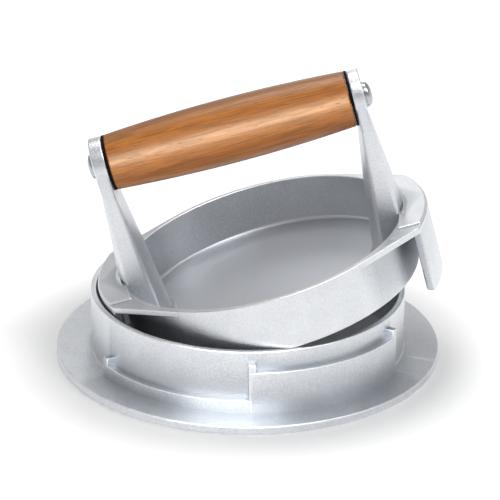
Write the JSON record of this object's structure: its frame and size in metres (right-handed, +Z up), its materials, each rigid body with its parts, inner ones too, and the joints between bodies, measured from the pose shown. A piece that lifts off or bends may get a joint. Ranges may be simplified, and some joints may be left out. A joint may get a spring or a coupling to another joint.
{
  "type": "burger press",
  "caption": "Cast burger press: a flanged ring with stepped depth pads, and a lift-off dish press with hanging tabs, two bellied posts and a turned wood grip on a through bolt.",
  "frame": {"origin": "on the table, under the middle of the whole object's box as it rests", "axes": "+X along the grip towards the raised end, +Z up, and the depth pads with the rib between them face -Y"},
  "size_m": [0.1476, 0.147, 0.1126],
  "materials": {
    "ring_aluminium": "satin cast, fine grain",
    "press_aluminium": "satin cast, fine grain",
    "grip_wood": "oiled, semi-gloss",
    "black_fibre": "matt black",
    "fastener_steel": "zinc plated, semi-bright"
  },
  "bodies": {
    "ring": {"mold_ring": "ring_aluminium"},
    "press": {"press_casting": "press_aluminium", "wood_grip": "grip_wood", "left_grip_washer": "black_fibre", "right_grip_washer": "black_fibre", "sleeve_nut": "fastener_steel", "handle_screw": "fastener_steel", "left_head_washer": "fastener_steel", "right_head_washer": "fastener_steel"}
  },
  "joints": [
    {"name": "press_lift", "type": "slide", "parent": "ring", "child": "press", "axis": [0, 0, 1], "range_m": [0, 0.08]}
  ]
}
